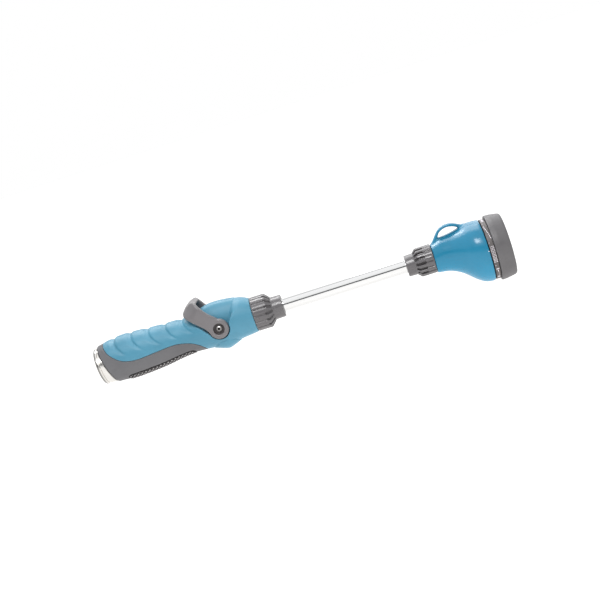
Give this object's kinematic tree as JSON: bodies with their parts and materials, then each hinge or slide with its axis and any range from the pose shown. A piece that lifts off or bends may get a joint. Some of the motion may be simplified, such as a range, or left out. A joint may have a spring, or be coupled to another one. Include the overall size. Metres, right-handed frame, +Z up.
{
  "type": "watering wand",
  "caption": "Hose-end watering wand with a finger-grooved grip, thumb lever valve, aluminium tube and a rotating spray-pattern head with a hanging loop.",
  "frame": {"origin": "under the middle of the wand's length, on its middle plane, level with the lowest point of the spray head", "axes": "+X along the tube towards the spray head, +Z up towards the thumb lever and the hanging loop, +Y to the left side"},
  "size_m": [0.4028, 0.0624, 0.0705],
  "materials": {
    "collar_metal": "polished",
    "tube_metal": "polished, brushed lengthwise",
    "grip_blue": "satin soft-touch",
    "head_blue": "gloss moulded",
    "grip_grey": "matte moulded",
    "pad_rubber": "textured, raised pips",
    "lever_grey": "matte moulded",
    "nut_grey": "satin moulded, ribbed",
    "dial_dark": "matte moulded",
    "bezel_grey": "matte moulded",
    "face_dark": "satin moulded",
    "core_dark": "as moulded",
    "inner_white": "as moulded",
    "seal_rubber": "smooth",
    "steel": "bright"
  },
  "bodies": {
    "handle": {"inlet_collar": "collar_metal", "hose_washer": "seal_rubber", "inlet_screen": "steel", "handle_shell_left": "grip_blue", "handle_shell_right": "grip_blue", "grip_base": "grip_grey", "grip_pad": "pad_rubber", "inlet_duct": "inner_white", "valve_body": "inner_white", "valve_seat_front": "seal_rubber", "valve_seat_rear": "seal_rubber", "handle_collar_nut": "nut_grey", "tube_ferrule_rear": "inner_white", "tube_seal_rear": "seal_rubber", "wand_tube": "tube_metal", "head_collar_nut": "nut_grey", "tube_ferrule_front": "inner_white", "tube_seal_front": "seal_rubber", "head_shell": "head_blue", "head_core": "core_dark", "port_seal": "seal_rubber", "port_spring": "steel", "detent_ball": "steel", "detent_spring": "steel"},
    "lever": {"control_lever": "lever_grey", "lever_screw_left": "steel", "lever_screw_right": "steel", "valve_rotor": "inner_white", "rotor_seal_left": "seal_rubber", "rotor_seal_right": "seal_rubber"},
    "dial": {"selector_body": "core_dark", "dial_ring": "dial_dark", "face_bezel": "bezel_grey", "spray_face": "face_dark", "dial_screw": "steel"}
  },
  "joints": [
    {"name": "lever_turn", "type": "hinge", "parent": "handle", "child": "lever", "pos_m": [-0.07856, 0, 0.039], "axis": [0, 1, 0], "range_deg": [0, 74]},
    {"name": "dial_turn", "type": "hinge", "parent": "handle", "child": "dial", "pos_m": [0.18154, 0, 0.0312], "axis": [1, 0, 0], "continuous": true}
  ]
}
